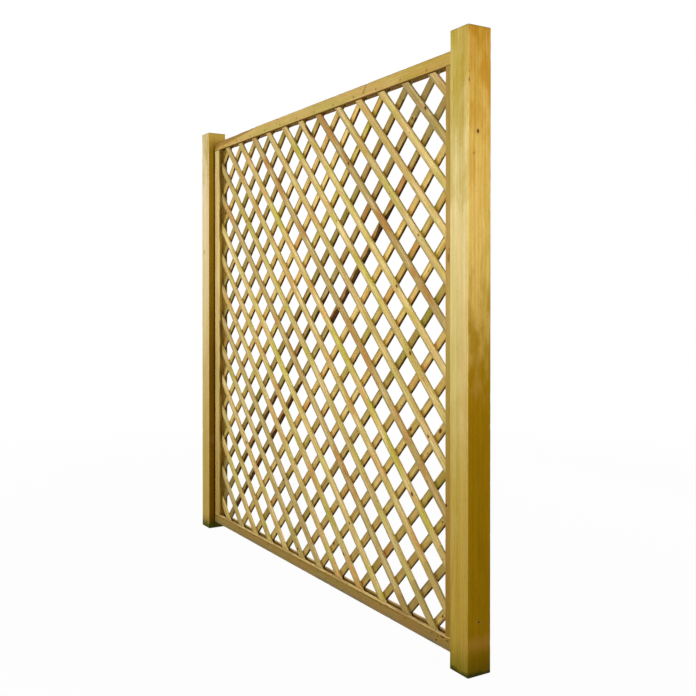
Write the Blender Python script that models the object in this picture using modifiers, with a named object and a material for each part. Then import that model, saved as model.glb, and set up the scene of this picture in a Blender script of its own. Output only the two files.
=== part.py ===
# Diamond trellis panel: a lattice of crossed slats in a grooved timber frame,
# screwed between two square posts.
# Metres, +Z up. The width runs along X, the front looks towards -Y, the posts stand on Z = 0.

from math import pi, radians, sin, tan

import bmesh
import bpy

# Frame
PANEL_WIDTH = 1.830
PANEL_HEIGHT = 1.800
FRAME_DEPTH = 0.038
RAIL_WIDTH = 0.042
STILE_WIDTH = 0.060
FRONT_LIP = 0.011
GROOVE_DEPTH = 0.020
FRAME_ARRIS = 0.0025

# Posts
POST_SIDE = 0.085
POST_ABOVE_FRAME = 0.045
POST_BELOW_FRAME = 0.028
POST_ARRIS = 0.004
FRAME_SETBACK = 0.030

# Lattice: the two distances run along the frame's edge from a corner to the nearest slat's centre line
SLATS_EACH_WAY = 24
LEFT_CORNER_TO_SLAT = 0.1665
RIGHT_CORNER_TO_SLAT = 0.1860
SLAT_WIDTH = 0.0285
SLAT_THICKNESS = 0.008
SLAT_ARRIS = 0.0008
SLAT_ANGLE = radians(45)

# Clearances
JOINT_GAP = 0.0003
CUT_OVERRUN = 0.010
MERGE_DISTANCE = 0.00001

# Screws through the stiles into the posts
SCREW_LENGTH = 0.070
SCREW_RADIUS = 0.0025
SCREW_TIP = 0.008
SCREW_HEAD_RADIUS = 0.0048
SCREW_HEAD_RIM = 0.0005
SCREW_HEAD_DEPTH = 0.0034
SCREW_SINK = 0.0010
SCREW_SPACING_PITCHES = 5

# Counts of flats and segments, and the roundness of the arrises
ARRIS_SEGMENTS = 2
TURNED_SIDES = 16
ROUND_PROFILE_SHARE = 0.5

# Colours: red, green, blue
POST_COLOUR = (0.560, 0.420, 0.150)
RAIL_COLOUR = (0.520, 0.370, 0.130)
STILE_COLOUR = (0.470, 0.340, 0.125)
FRONT_SLAT_COLOURS = ((0.600, 0.440, 0.180), (0.540, 0.420, 0.150),
                      (0.580, 0.390, 0.170), (0.500, 0.400, 0.130))
REAR_SLAT_COLOURS = ((0.420, 0.300, 0.100), (0.370, 0.290, 0.090), (0.450, 0.290, 0.110))
ZINC_COLOUR = (0.420, 0.410, 0.380)
WOOD_ROUGHNESS = 0.75
ZINC_ROUGHNESS = 0.45

# Places that the sizes above give
panel_bottom = POST_BELOW_FRAME
panel_top = panel_bottom + PANEL_HEIGHT
panel_middle = panel_bottom + PANEL_HEIGHT / 2
panel_edge = PANEL_WIDTH / 2
frame_front = FRAME_SETBACK - POST_SIDE / 2
frame_centre_y = frame_front + FRAME_DEPTH / 2
groove_width = 2 * SLAT_THICKNESS + 3 * JOINT_GAP
groove_centre_y = frame_front + FRONT_LIP + groove_width / 2
groove_floor_x = panel_edge - STILE_WIDTH + GROOVE_DEPTH
groove_floor_z = RAIL_WIDTH - GROOVE_DEPTH
front_slat_y = frame_front + FRONT_LIP + JOINT_GAP + SLAT_THICKNESS / 2
rear_slat_y = front_slat_y + SLAT_THICKNESS + JOINT_GAP
slat_run = PANEL_HEIGHT / tan(SLAT_ANGLE)
slat_pitch = (PANEL_WIDTH + slat_run - LEFT_CORNER_TO_SLAT - RIGHT_CORNER_TO_SLAT) / (SLATS_EACH_WAY - 1)
slat_offsets = [LEFT_CORNER_TO_SLAT + index * slat_pitch for index in range(SLATS_EACH_WAY)]


# Scene and collections

def clear_scene():
    for item in list(bpy.data.objects):
        bpy.data.objects.remove(item, do_unlink=True)


def new_collection(name):
    collection = bpy.data.collections.new(name)
    bpy.context.scene.collection.children.link(collection)
    return collection


clear_scene()
parts = new_collection("trellis_panel")
cutters = new_collection("cutters")
cutters.hide_render = True
panel_root = bpy.data.objects.new("trellis_panel_root", None)
parts.objects.link(panel_root)


# Materials

def surface(name, colour, roughness, metallic):
    material = bpy.data.materials.new(name)
    material.use_nodes = True
    shader = material.node_tree.nodes["Principled BSDF"]
    shader.inputs["Base Color"].default_value = (*colour, 1)
    shader.inputs["Roughness"].default_value = roughness
    shader.inputs["Metallic"].default_value = metallic
    return material


def paint_wood(piece, colour):
    piece.data.materials.append(surface(piece.name + "_wood", colour, WOOD_ROUGHNESS, 0))


def paint_zinc(piece):
    piece.data.materials.append(surface(piece.name + "_zinc", ZINC_COLOUR, ZINC_ROUGHNESS, 1))


# Objects from Blender's primitives

def add_object(name, mesh, collection):
    piece = bpy.data.objects.new(name, mesh)
    collection.objects.link(piece)
    if collection is parts:
        piece.parent = panel_root
    else:
        piece.display_type = "WIRE"
    return piece


def finish_mesh(name, form):
    mesh = bpy.data.meshes.new(name)
    form.to_mesh(mesh)
    form.free()
    return mesh


def add_timber(name, size, centre, arris, segments, collection):
    # A box whose four long edges are rounded and whose ends are cut square.
    form = bmesh.new()
    bmesh.ops.create_cube(form, size=1)
    bmesh.ops.scale(form, vec=size, verts=form.verts)
    along = max(range(3), key=lambda axis: size[axis])
    long_edges = [edge for edge in form.edges
                  if abs(edge.verts[0].co[along] - edge.verts[1].co[along]) > max(size) / 2]
    if arris > 0:
        bmesh.ops.bevel(form, geom=long_edges, offset=arris, segments=segments,
                        profile=ROUND_PROFILE_SHARE, affect="EDGES")
    piece = add_object(name, finish_mesh(name, form), collection)
    piece.location = centre
    return piece


def add_cutter(name, size, centre):
    return add_timber(name, size, centre, 0, 1, cutters)


def add_turned(name, profile, collection):
    # Turns a profile of (radius, height) points, listed from the top down, about the local Z axis.
    mesh = bpy.data.meshes.new(name)
    points = [(radius, 0, height) for radius, height in profile]
    mesh.from_pydata(points, [(index, index + 1) for index in range(len(points) - 1)], [])
    piece = add_object(name, mesh, collection)
    turn = piece.modifiers.new("turn", "SCREW")
    turn.axis = "Z"
    turn.angle = 2 * pi
    turn.steps = TURNED_SIDES
    turn.render_steps = TURNED_SIDES
    turn.use_merge_vertices = True
    turn.merge_threshold = MERGE_DISTANCE
    return piece


def cut(piece, operation, cutter):
    step = piece.modifiers.new(operation.lower() + "_" + cutter.name, "BOOLEAN")
    step.operation = operation
    step.solver = "EXACT"
    step.object = cutter
    return step


# Screws

def screw_profile(grow, overrun):
    # The head's top is at height zero. Grown, and with an overrun, it is the bore for the screw.
    return [(0, overrun),
            (SCREW_HEAD_RADIUS + grow, overrun),
            (SCREW_HEAD_RADIUS + grow, -SCREW_HEAD_RIM - grow),
            (SCREW_RADIUS + grow, -SCREW_HEAD_DEPTH - grow),
            (SCREW_RADIUS + grow, SCREW_TIP - SCREW_LENGTH),
            (0, -SCREW_LENGTH - grow)]


def add_post_screw(name, side, level):
    # A screw starts at the stile's groove floor, in a gap of the lattice, and ends in the post.
    across = side * (groove_floor_x + SCREW_SINK)
    height = panel_middle + level * SCREW_SPACING_PITCHES * slat_pitch
    screw = add_turned(name, screw_profile(0, 0), parts)
    bore = add_turned(name + "_bore", screw_profile(JOINT_GAP, CUT_OVERRUN), cutters)
    for piece in (screw, bore):
        piece.location = (across, groove_centre_y, height)
        piece.rotation_euler = (0, -side * radians(90), 0)
    paint_zinc(screw)
    return bore


# Frame

def add_rail(name, side):
    # side is -1 for the bottom rail and 1 for the top rail.
    height = panel_middle + side * (PANEL_HEIGHT - RAIL_WIDTH) / 2
    rail = add_timber(name, (PANEL_WIDTH, FRAME_DEPTH, RAIL_WIDTH), (0, frame_centre_y, height),
                      FRAME_ARRIS, ARRIS_SEGMENTS, parts)
    floor = PANEL_HEIGHT / 2 - groove_floor_z
    groove_size = (PANEL_WIDTH + 2 * CUT_OVERRUN, groove_width, GROOVE_DEPTH + CUT_OVERRUN)
    groove_height = panel_middle + side * (floor - groove_size[2] / 2)
    groove = add_cutter(name + "_groove", groove_size, (0, groove_centre_y, groove_height))
    cut(rail, "DIFFERENCE", groove)
    paint_wood(rail, RAIL_COLOUR)


def add_stile(name, side, bores):
    # side is -1 for the left stile and 1 for the right stile. Stub tenons fill the rails' grooves.
    across = side * (panel_edge - STILE_WIDTH / 2)
    shoulder_length = PANEL_HEIGHT - 2 * RAIL_WIDTH - 2 * JOINT_GAP
    centre = (across, frame_centre_y, panel_middle)
    stile = add_timber(name, (STILE_WIDTH, FRAME_DEPTH, shoulder_length), centre,
                       FRAME_ARRIS, ARRIS_SEGMENTS, parts)
    tenon_length = PANEL_HEIGHT - 2 * groove_floor_z - 2 * JOINT_GAP
    tenon_size = (STILE_WIDTH, groove_width - 2 * JOINT_GAP, tenon_length)
    tenons = add_cutter(name + "_tenons", tenon_size, (across, groove_centre_y, panel_middle))
    groove_size = (GROOVE_DEPTH + CUT_OVERRUN, groove_width, tenon_length + 2 * CUT_OVERRUN)
    groove_across = side * (groove_floor_x - groove_size[0] / 2)
    groove = add_cutter(name + "_groove", groove_size, (groove_across, groove_centre_y, panel_middle))
    cut(stile, "UNION", tenons)
    cut(stile, "DIFFERENCE", groove)
    for bore in bores:
        cut(stile, "DIFFERENCE", bore)
    paint_wood(stile, STILE_COLOUR)


def add_post(name, side, bores):
    post_height = POST_BELOW_FRAME + PANEL_HEIGHT + POST_ABOVE_FRAME
    across = side * (panel_edge + JOINT_GAP + POST_SIDE / 2)
    post = add_timber(name, (POST_SIDE, POST_SIDE, post_height), (across, 0, post_height / 2),
                      POST_ARRIS, ARRIS_SEGMENTS, parts)
    for bore in bores:
        cut(post, "DIFFERENCE", bore)
    paint_wood(post, POST_COLOUR)


# Lattice

def add_slat(name, offset, lean, depth, trim, colour):
    # lean is -1 for a slat that falls to the right and 1 for one that rises to the right.
    # The offset is the way from the frame's left corner to the slat's centre line. A blank as long
    # as the panel's diagonal run is laid across the frame's middle height and trimmed to the grooves.
    length = PANEL_HEIGHT / sin(SLAT_ANGLE) + 2 * SLAT_WIDTH
    centre = (offset - slat_run / 2 - panel_edge, depth, panel_middle)
    slat = add_timber(name, (length, SLAT_THICKNESS, SLAT_WIDTH), centre, SLAT_ARRIS, 1, parts)
    slat.rotation_euler = (0, -lean * SLAT_ANGLE, 0)
    cut(slat, "INTERSECT", trim)
    paint_wood(slat, colour)


def add_lattice():
    # Front slats start from the lower left corner and rear slats from the upper left one.
    # The trim block is the space between the groove floors.
    trim_height = PANEL_HEIGHT - 2 * (groove_floor_z + JOINT_GAP)
    trim_size = (2 * (groove_floor_x - JOINT_GAP), FRAME_DEPTH, trim_height)
    trim = add_cutter("lattice_trim", trim_size, (0, groove_centre_y, panel_middle))
    for index, offset in enumerate(slat_offsets):
        number = "%02d" % (index + 1)
        front_colour = FRONT_SLAT_COLOURS[index % len(FRONT_SLAT_COLOURS)]
        rear_colour = REAR_SLAT_COLOURS[index % len(REAR_SLAT_COLOURS)]
        add_slat("front_slat_" + number, offset, -1, front_slat_y, trim, front_colour)
        add_slat("rear_slat_" + number, offset, 1, rear_slat_y, trim, rear_colour)


# Build

for side_name, side in (("left", -1), ("right", 1)):
    bores = [add_post_screw("post_screw_" + side_name + "_" + level_name, side, level)
             for level_name, level in (("low", -1), ("middle", 0), ("high", 1))]
    add_post("post_" + side_name, side, bores)
    add_stile("stile_" + side_name, side, bores)
add_rail("top_rail", 1)
add_rail("bottom_rail", -1)
add_lattice()
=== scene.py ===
# Diamond trellis panel between two posts: sawn and treated softwood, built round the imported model.
import math
import random

import bmesh
import bpy
from mathutils import Matrix, Vector, noise


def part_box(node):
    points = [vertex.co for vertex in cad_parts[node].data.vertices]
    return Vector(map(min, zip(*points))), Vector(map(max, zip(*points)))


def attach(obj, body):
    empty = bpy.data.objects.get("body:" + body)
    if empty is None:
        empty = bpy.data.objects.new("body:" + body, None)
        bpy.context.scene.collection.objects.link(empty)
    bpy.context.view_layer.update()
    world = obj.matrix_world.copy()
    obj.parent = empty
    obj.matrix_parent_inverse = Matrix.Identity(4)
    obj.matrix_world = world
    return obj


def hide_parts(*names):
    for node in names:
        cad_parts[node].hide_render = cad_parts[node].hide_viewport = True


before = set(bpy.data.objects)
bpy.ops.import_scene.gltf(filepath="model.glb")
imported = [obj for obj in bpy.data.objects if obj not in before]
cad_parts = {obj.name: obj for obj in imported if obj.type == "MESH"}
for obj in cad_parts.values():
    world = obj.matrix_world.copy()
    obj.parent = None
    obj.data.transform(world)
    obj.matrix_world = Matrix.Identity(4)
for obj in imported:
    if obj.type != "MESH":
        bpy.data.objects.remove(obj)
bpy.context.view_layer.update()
print("frame loaded:", len(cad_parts), "nodes")


# The camera stands where the photograph was taken: to the right of the panel, close to its near post.

cameraLook = {
    "place": (2.9533, -1.6406, 1.0890),
    "turn": 1.0298,               # from looking along +Y towards -X, radians
    "tilt": -0.0067,
    "focalPixels": 875.2,
    "opticalCentre": (340.6, 304.4),
    "photoSide": 696,
    "sensor": 36.0,
}


def placeCamera(look):
    camera = bpy.data.objects.new("camera", bpy.data.cameras.new("camera"))
    bpy.context.scene.collection.objects.link(camera)
    half = look["photoSide"] / 2
    camera.data.sensor_width = look["sensor"]
    camera.data.lens = look["focalPixels"] / look["photoSide"] * look["sensor"]
    camera.data.shift_x = (half - look["opticalCentre"][0]) / look["photoSide"]
    camera.data.shift_y = (look["opticalCentre"][1] - half) / look["photoSide"]
    camera.location = look["place"]
    camera.rotation_euler = (math.pi / 2 + look["tilt"], 0, look["turn"])
    bpy.context.scene.camera = camera


placeCamera(cameraLook)
print("camera placed")


# Wiring helpers for node trees.

class NodeBench:
    def __init__(self, tree):
        self.tree = tree

    def put(self, kind, **settings):
        node = self.tree.nodes.new(kind)
        for key, value in settings.items():
            setattr(node, key, value)
        return node

    def feed(self, socket, value):
        if isinstance(value, bpy.types.NodeSocket):
            self.tree.links.new(value, socket)
        else:
            socket.default_value = value

    def wired(self, kind, values, **settings):
        # Puts a node and feeds its first sockets in turn.
        node = self.put(kind, **settings)
        for socket, value in zip(node.inputs, values):
            self.feed(socket, value)
        return node.outputs

    def maths(self, operation, *values):
        return self.wired("ShaderNodeMath", values, operation=operation)[0]

    def chain(self, operation, values):
        total = values[0]
        for value in values[1:]:
            total = self.maths(operation, total, value)
        return total

    def plus(self, *values):
        return self.chain("ADD", values)

    def minus(self, value, taken):
        return self.maths("SUBTRACT", value, taken)

    def times(self, *values):
        return self.chain("MULTIPLY", values)

    def over(self, value, divisor):
        return self.maths("DIVIDE", value, divisor)

    def apart(self, value, other):
        return self.maths("ABSOLUTE", self.minus(value, other))

    def diagonal(self, *sides):
        return self.maths("SQRT", self.plus(*[self.times(side, side) for side in sides]))

    def vectors(self, operation, *values):
        outputs = self.wired("ShaderNodeVectorMath", values, operation=operation)
        return outputs["Value" if operation == "LENGTH" else "Vector"]

    def stretched(self, vector, factors):
        return self.vectors("MULTIPLY", vector, factors)

    def ramp(self, value, low, high, start=0.0, end=1.0):
        values = (value, low, high, start, end)
        return self.wired("ShaderNodeMapRange", values, interpolation_type="SMOOTHSTEP")[0]

    def fade(self, value, low, high, share=1.0):
        # The whole share up to the low value and nothing beyond the high one.
        return self.ramp(value, low, high, share, 0.0)

    def cloud(self, position, scale, detail):
        node = self.put("ShaderNodeTexNoise")
        self.feed(node.inputs["Vector"], position)
        self.feed(node.inputs["Scale"], scale)
        self.feed(node.inputs["Detail"], detail)
        return node.outputs["Fac"]

    def pattern(self, place, name):
        factors, detail, *limits = patternLook[name]
        waves = self.cloud(self.stretched(place, factors), 1.0, detail)
        return self.ramp(waves, *limits) if limits else waves

    def split(self, vector):
        return tuple(self.wired("ShaderNodeSeparateXYZ", [vector]))

    def join(self, *parts):
        return self.wired("ShaderNodeCombineXYZ", parts)[0]

    def mark(self, label, output="Fac"):
        # Reads a value that the mesh brings with it.
        return self.put("ShaderNodeAttribute", attribute_name=label).outputs[output]

    def tint(self, mask, base, colour, way="MIX"):
        node = self.put("ShaderNodeMix", data_type="RGBA", blend_type=way)
        self.feed(node.inputs[0], mask)
        self.feed(node.inputs[6], base)
        self.feed(node.inputs[7], colour)
        return node.outputs[2]

    def effect(self, group, **values):
        # Places a shared effect; an underscore in a value's name stands for a space.
        node = self.put("ShaderNodeGroup", node_tree=group)
        for label, value in values.items():
            self.feed(node.inputs[label.replace("_", " ")], value)
        return node.outputs


def newEffect(name, inputs, outputs):
    tree = bpy.data.node_groups.new(name, "ShaderNodeTree")
    kinds = {"value": "NodeSocketFloat", "place": "NodeSocketVector"}
    for label, kind in inputs.items():
        tree.interface.new_socket(name=label, in_out="INPUT", socket_type=kinds[kind])
    for label in outputs:
        tree.interface.new_socket(name=label, in_out="OUTPUT", socket_type=kinds["value"])
    bench = NodeBench(tree)
    return bench, bench.put("NodeGroupInput").outputs, bench.put("NodeGroupOutput").inputs


def newMaterial(name):
    material = bpy.data.materials.new(name)
    material.use_nodes = True
    nodes = material.node_tree.nodes
    return material, NodeBench(material.node_tree), nodes["Principled BSDF"], nodes["Material Output"]


def feedBump(bench, shader, height, strength, depth):
    bump = bench.put("ShaderNodeBump")
    bump.inputs["Strength"].default_value = strength
    bump.inputs["Distance"].default_value = depth
    bench.feed(bump.inputs["Height"], height)
    bench.feed(shader.inputs["Normal"], bump.outputs["Normal"])


# Effects that the timbers share. Every length in them is in metres along the board's own axes:
# X runs along the board, Y through its depth and Z across its width.

patternLook = {
    # name: how closely it is packed along, through and across the board, its detail, and the noise's range
    "drift": ((1.3, 7.0, 7.0), 2.0),
    "ringStrength": ((2.0, 60.0, 60.0), 1.0, 0.25, 0.7),
    "fibre": ((16.0, 850.0, 850.0), 3.0, 0.25, 0.75),
    "broad": ((1.6, 130.0, 130.0), 2.0, 0.28, 0.72),
    "streak": ((2.4, 210.0, 210.0), 2.0, 0.52, 0.70),
    "blotch": ((11.0, 34.0, 34.0), 3.5, 0.34, 0.66),
    "fleck": ((95.0, 420.0, 420.0), 2.0, 0.56, 0.72),
    "worn": ((45.0, 220.0, 220.0), 3.0),
    "bark": ((9.0, 0.0, 0.0), 2.0, 0.3, 0.7, 0.45, 1.5),
    "sawFade": ((5.0, 20.0, 20.0), 1.0, 0.4, 0.7),
    "fuzz": ((240.0, 900.0, 900.0), 3.0),
}
effectLook = {
    "seedStep": (3.71, 5.13, 2.39),       # how far apart the patterns of two seeds lie
    "ring": (0.30, 0.88),                 # a year ring darkens from here to here, and ends at once
    # Knots: closeness and depth of the ragged outline, and how far knot, halo and bulge reach, in radii.
    "fieldKnot": (260.0, 0.0020, (1.15, 2.6, 3.4)),
    "placedKnot": (300.0, 0.0016, (1.2, 2.8, 3.6)),
    "knotFull": (0.85, 0.9, 0.4),         # up to here, in radii, each has its full strength
    "knotSwell": 1.3,                     # how far the rings bulge, in radii
    "knotNarrow": (0.62, 1.0, 1.0),       # the field's knots are long along the board
    "knotLeast": 0.45,                    # the least size of a knot in the field
    # Treatment: closeness across the board; then offset, scale, detail and the noise's range of each patch.
    "patchAcross": 22.0,
    "greenPatch": ((0.0, 0.0, 0.0), 1.0, 2.5, 0.42, 0.66),
    "warmPatch": ((17.0, 4.0, 9.0), 1.15, 2.5, 0.46, 0.68),
    "streakPatch": ((5.0, 31.0, 2.0), 0.9, 1.0, 0.50, 0.70),
    "arrisWear": (0.3, 0.7, 0.5, 2.2),    # the noise's range, and how wide the arris is there
    "arrisFade": (0.35, 1.0),
    "sideFade": (0.20, 0.80),
    "sway": 0.004,                        # how far the lines along a board's edges wander
    "waneFrom": -0.4,                     # bark is left on the front arris only
    "waneFade": 0.0024,
    "sawLean": 0.18,
    "sawWobble": (14.0, 2.0, 0.010),      # closeness, detail and depth
    "sawRise": 0.5,
    "stainFade": (0.55, 1.6),
}


def seeded(bench, given):
    # Moves the pattern of each board to another place in the same noise.
    offset = bench.stretched(given["Seed"], effectLook["seedStep"])
    return bench.vectors("ADD", given["Position"], offset)


def makeGrain():
    bench, given, out = newEffect(
        "timberGrain",
        {"Position": "place", "Seed": "value", "Pith": "place", "Ring Spacing": "value",
         "Wander": "value", "Bulge": "value"},
        ["Rings", "Fibre", "Broad"])
    place = seeded(bench, given)
    drift = bench.times(bench.minus(bench.pattern(place, "drift"), 0.5), given["Wander"])
    _, deep, wide = bench.split(bench.vectors("SUBTRACT", given["Position"], given["Pith"]))
    away = bench.plus(bench.diagonal(deep, wide), drift, given["Bulge"])
    phase = bench.maths("FRACT", bench.over(away, given["Ring Spacing"]))
    pale, dark = effectLook["ring"]
    ring = bench.times(bench.ramp(phase, pale, dark), bench.fade(phase, dark, 1.0))
    bench.feed(out["Rings"], bench.times(ring, bench.pattern(place, "ringStrength")))
    bench.feed(out["Fibre"], bench.pattern(place, "fibre"))
    bench.feed(out["Broad"], bench.pattern(place, "broad"))
    return bench.tree


def feedKnot(bench, out, kind, place, away, radius, chosen=1.0):
    # The knot, its halo and the rings' bulge round it, each with its own reach.
    closeness, depth, reaches = effectLook[kind]
    ragged = bench.plus(away, bench.times(bench.cloud(place, closeness, 2.0), depth))
    near = bench.over(ragged, radius)
    knot, halo, swell = [bench.times(bench.fade(near, full, none), chosen)
                         for full, none in zip(effectLook["knotFull"], reaches)]
    bench.feed(out["Knot"], knot)
    bench.feed(out["Halo"], halo)
    bench.feed(out["Bulge"], bench.times(swell, bench.times(radius, effectLook["knotSwell"])))


def makeKnotField():
    bench, given, out = newEffect(
        "knotField",
        {"Position": "place", "Seed": "value", "Cell": "value", "Radius": "value", "Share": "value"},
        ["Knot", "Halo", "Bulge"])
    place = bench.stretched(seeded(bench, given), effectLook["knotNarrow"])
    cells = bench.put("ShaderNodeTexVoronoi", voronoi_dimensions="3D", feature="F1")
    bench.feed(cells.inputs["Vector"], place)
    bench.feed(cells.inputs["Scale"], bench.over(1.0, given["Cell"]))
    away = bench.times(cells.outputs["Distance"], given["Cell"])
    chance, size, _ = bench.split(cells.outputs["Color"])
    radius = bench.times(given["Radius"], bench.plus(effectLook["knotLeast"], size))
    chosen = bench.maths("LESS_THAN", chance, given["Share"])
    feedKnot(bench, out, "fieldKnot", place, away, radius, chosen)
    return bench.tree


def makePlacedKnot():
    bench, given, out = newEffect(
        "placedKnot",
        {"Position": "place", "Centre": "place", "Radius": "value", "Stretch": "value"},
        ["Knot", "Halo", "Bulge"])
    along, deep, wide = bench.split(bench.vectors("SUBTRACT", given["Position"], given["Centre"]))
    away = bench.diagonal(bench.over(along, given["Stretch"]), deep, wide)
    feedKnot(bench, out, "placedKnot", given["Position"], away, given["Radius"])
    return bench.tree


def makeTreatment():
    bench, given, out = newEffect(
        "treatmentPatches",
        {"Position": "place", "Seed": "value", "Length": "value"},
        ["Green", "Warm", "Streak", "Blotch", "Fleck"])
    place = seeded(bench, given)
    along, deep, wide = bench.split(place)
    across = effectLook["patchAcross"]
    patches = bench.join(bench.over(along, given["Length"]), bench.times(deep, across),
                         bench.times(wide, across))

    def patch(name):
        offset, scale, detail, low, high = effectLook[name]
        return bench.ramp(bench.cloud(bench.vectors("ADD", patches, offset), scale, detail), low, high)

    bench.feed(out["Green"], patch("greenPatch"))
    bench.feed(out["Warm"], patch("warmPatch"))
    bench.feed(out["Streak"], bench.times(bench.pattern(place, "streak"), patch("streakPatch")))
    bench.feed(out["Blotch"], bench.pattern(place, "blotch"))
    bench.feed(out["Fleck"], bench.pattern(place, "fleck"))
    return bench.tree


def makeBoardFaces():
    bench, given, out = newEffect(
        "boardFaces",
        {"Position": "place", "Half Size": "place", "Arris": "value", "Wane": "value"},
        ["Edge", "Low Side", "High Side", "End", "Wane Band", "Low Gap", "High Gap"])
    along, deep, wide = bench.split(given["Position"])
    halfAlong, halfDeep, halfWide = bench.split(given["Half Size"])
    fromDepth = bench.minus(halfDeep, bench.maths("ABSOLUTE", deep))
    fromWidth = bench.minus(halfWide, bench.maths("ABSOLUTE", wide))
    fromEnd = bench.minus(halfAlong, bench.maths("ABSOLUTE", along))
    fromLow, fromHigh = bench.plus(halfWide, wide), bench.minus(halfWide, wide)
    rough = bench.pattern(given["Position"], "worn")
    worn = bench.times(given["Arris"], bench.ramp(rough, *effectLook["arrisWear"]))
    nearest = bench.maths("MAXIMUM", fromDepth, fromWidth)
    bench.feed(out["Edge"], bench.fade(bench.over(nearest, worn), *effectLook["arrisFade"]))
    for label, gap in (("Low Side", fromLow), ("High Side", fromHigh), ("End", fromEnd)):
        bench.feed(out[label], bench.fade(bench.over(gap, given["Arris"]), *effectLook["sideFade"]))
    front = bench.fade(deep, bench.times(halfDeep, effectLook["waneFrom"]), halfDeep)
    limit = bench.times(given["Wane"], bench.pattern(given["Position"], "bark"), front)
    sway = bench.times(bench.minus(rough, 0.5), effectLook["sway"])
    beyond = bench.minus(bench.minus(limit, fromLow), sway)
    bench.feed(out["Wane Band"], bench.ramp(beyond, 0.0, effectLook["waneFade"]))
    bench.feed(out["Low Gap"], bench.plus(fromLow, sway))
    bench.feed(out["High Gap"], bench.plus(fromHigh, sway))
    return bench.tree


def makeSawMarks():
    bench, given, out = newEffect(
        "sawMarks",
        {"Position": "place", "Seed": "value", "Pitch": "value"},
        ["Ripple", "Fuzz"])
    place = seeded(bench, given)
    along, _, wide = bench.split(place)
    lean = bench.plus(along, bench.times(wide, effectLook["sawLean"]))
    closeness, detail, depth = effectLook["sawWobble"]
    wobble = bench.times(bench.cloud(place, closeness, detail), depth)
    turn = bench.over(bench.plus(lean, wobble), given["Pitch"])
    wave = bench.maths("SINE", bench.times(turn, 2 * math.pi))
    bench.feed(out["Ripple"], bench.times(wave, effectLook["sawRise"], bench.pattern(place, "sawFade")))
    bench.feed(out["Fuzz"], bench.pattern(place, "fuzz"))
    return bench.tree


def makeNailStain():
    bench, given, out = newEffect(
        "nailStain",
        {"Position": "place", "First": "place", "Pitch": "value", "Radius": "value"},
        ["Ring"])
    along, _, wide = bench.split(bench.vectors("SUBTRACT", given["Position"], given["First"]))
    turn = bench.over(along, given["Pitch"])
    along = bench.times(bench.minus(turn, bench.maths("ROUND", turn)), given["Pitch"])
    away = bench.over(bench.diagonal(along, wide), given["Radius"])
    bench.feed(out["Ring"], bench.fade(away, *effectLook["stainFade"]))
    return bench.tree


grainEffect = makeGrain()
knotFieldEffect = makeKnotField()
placedKnotEffect = makePlacedKnot()
treatmentEffect = makeTreatment()
facesEffect = makeBoardFaces()
sawEffect = makeSawMarks()
nailStainEffect = makeNailStain()
print("shared wood effects made")


# Timber material: one look dictionary for each kind of board.

plainTimber = {
    "seed": 0.0,
    "perBoard": False,                    # True where each board brings its own seed, tone and marks
    "early": (0.640, 0.470, 0.170),       # pale wood of a year ring
    "late": (0.430, 0.270, 0.070),        # dark wood of a year ring
    "ringShare": 0.45,
    "fibre": (0.620, 0.540, 0.400),
    "fibreShare": 0.30,
    "broadShare": 0.35,
    "ringSpacing": 0.0045,
    "wander": 0.030,
    "pith": (0, 0.060, 0.035),
    "green": (0.420, 0.380, 0.085),
    "greenShare": 0.35,
    "warm": (0.660, 0.390, 0.160),
    "warmShare": 0.35,
    "streak": (0.180, 0.105, 0.020),
    "streakShare": 0.20,
    "patchLength": 0.35,
    "knotCell": 0.17,
    "knotRadius": 0.008,
    "knotShare": 0.45,
    "placedKnots": [],                    # centre (along, deep, across), radius, stretch, strength
    "markStretch": {"boardKnot": 1.5, "boardPin": 1.2, "boardStreak": 12.0},
    "halo": (0.400, 0.215, 0.050),
    "haloShare": 0.55,
    "knot": (0.090, 0.038, 0.010),
    "edge": (0.760, 0.580, 0.240),
    "edgeShare": 0.45,
    "lowTint": None,                      # multiplies the colour of the low side
    "highTint": None,
    "bands": [],                          # (Low Gap or High Gap, width, colour, share) beside a side's edge
    "bandFade": 0.25,                     # a band fades from this share of its width
    "bandMottle": 0.35,                   # what blotches leave of a band
    "wane": (0.036, 0.011, 0.000),        # dark bark on a marked slat's lower front edge
    "waneShare": (1.0, 0.82),             # between the fibres and on them
    "corner": None,                       # (depth, half width, colour, share, side) of painted shadow beside the panel
    "cornerShadeFade": (0.5, 1.3),             # in half widths
    "seam": None,                         # (pitch, half width covered, reach, tint) of painted shadow beside the front slats
    "slatShadowFade": (0.25, 0.2),              # in reaches: where it starts to fade, and how far blotches push it
    "end": (0.420, 0.310, 0.100),
    "endShare": 0.8,
    "blotch": (0.800, 0.760, 0.560),
    "blotchShare": 0.30,
    "blotchReach": 0.10,                  # how far blotches push a shade along the board
    "broadReach": 0.05,
    "fleck": (0.560, 0.440, 0.220),
    "fleckShare": 0.30,
    "shades": [],                         # (low side or not, from, to, colour): a stretch that darkens
    "tide": None,                         # (height, half width, colour, share) of a band on the low side; on the left post it is painted light
    "foot": None,                         # (height, colour, rim height, rim colour) of a wet lower end
    "rimFade": (0.4, 1.4, 0.9),           # in rim heights: from here to here; and the rim's share
    "rimPush": (0.5, -0.3),               # how far blotches and flecks push the rim, in rim heights
    "bark": (0.500, 0.285, 0.130),
    "barkShare": 0.0,
    "barkPull": (0.0003, 0.0015),         # bark shows where the surface is pulled in this far
    "groove": (0.085, 0.055, 0.015),
    "grooveShare": 0.0,
    "nails": None,                        # (first nail's place, pitch, radius)
    "stainShare": 0.55,
    "roughness": (0.58, 0.80),
    "dulling": (0.6, 0.4, 0.2, 0.8),      # shares of fibre and fuzz, and the range that counts
    "relief": (-0.35, 0.30, 0.20, 0.50),  # rise of fibres, rings and fuzz, and how deep a knot lies
    "gloss": 0.04,
    "bump": 0.55,
    "bumpDepth": 0.0007,
    "sawPitch": 0.0032,
    "sawShare": 0.25,
}


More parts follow.
